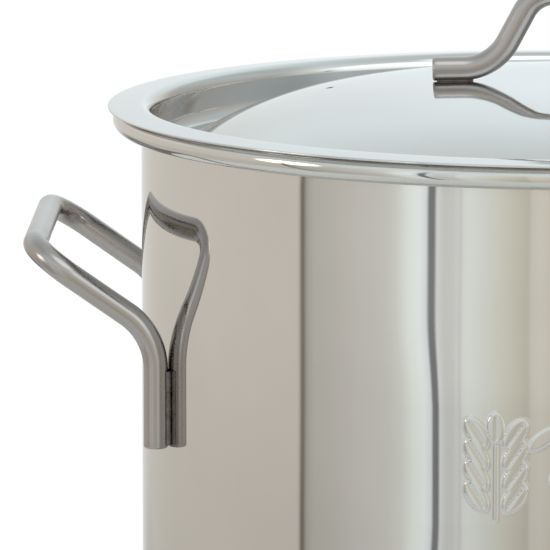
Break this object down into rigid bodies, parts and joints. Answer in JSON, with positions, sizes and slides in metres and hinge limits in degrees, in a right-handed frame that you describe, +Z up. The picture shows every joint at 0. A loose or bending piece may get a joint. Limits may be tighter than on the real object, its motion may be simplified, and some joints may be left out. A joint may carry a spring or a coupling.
{
  "type": "brew kettle",
  "caption": "Polished stainless brew kettle with a rolled rim, bent-rod side handles, a lift-off recessed dome lid and a lever ball valve as the drain.",
  "frame": {"origin": "centre of the base, on the plane that the kettle stands on", "axes": "+Z up along the pot's axis; +X towards the right side handle; the drain valve points to -Y"},
  "size_m": [0.5118, 0.5035, 0.396],
  "materials": {
    "pot_steel": "polished stainless sheet with faint drawn waviness",
    "lid_steel": "polished stainless sheet",
    "handle_steel": "polished stainless round rod",
    "weld_steel": "ground and brushed weld",
    "base_steel": "circular brushed stainless",
    "aluminium_core": "plain",
    "fitting_steel": "turned stainless",
    "cast_steel": "investment cast, tumbled satin",
    "ball_steel": "polished",
    "lever_steel": "stamped stainless",
    "silicone": "translucent off-white silicone",
    "ptfe": "white PTFE",
    "sleeve_vinyl": "dipped black vinyl"
  },
  "bodies": {
    "kettle": {"kettle_shell": "pot_steel", "base_core": "aluminium_core", "base_cap": "base_steel", "left_handle": "handle_steel", "right_handle": "handle_steel", "left_handle_weld_front": "weld_steel", "left_handle_weld_rear": "weld_steel", "right_handle_weld_front": "weld_steel", "right_handle_weld_rear": "weld_steel", "drain_nipple": "fitting_steel", "drain_locknut": "fitting_steel", "drain_washer": "fitting_steel", "drain_gasket_inner": "silicone", "drain_gasket_outer": "silicone", "valve_body": "cast_steel", "valve_end_cap": "cast_steel", "valve_seat_inlet": "ptfe", "valve_seat_outlet": "ptfe", "stem_packing": "ptfe", "packing_nut": "fitting_steel"},
    "drain_lever": {"valve_ball": "ball_steel", "valve_stem": "fitting_steel", "valve_lever": "lever_steel", "lever_nut": "fitting_steel", "lever_sleeve": "sleeve_vinyl"},
    "lid": {"lid_shell": "lid_steel", "lid_handle": "handle_steel", "lid_handle_weld_left": "weld_steel", "lid_handle_weld_right": "weld_steel"}
  },
  "joints": [
    {"name": "lid_lift", "type": "slide", "parent": "kettle", "child": "lid", "axis": [0, 0, 1], "range_m": [0, 0.2]},
    {"name": "drain_lever_turn", "type": "hinge", "parent": "kettle", "child": "drain_lever", "pos_m": [0, -0.24, 0.05], "axis": [0, 0, -1], "range_deg": [0, 90]}
  ]
}
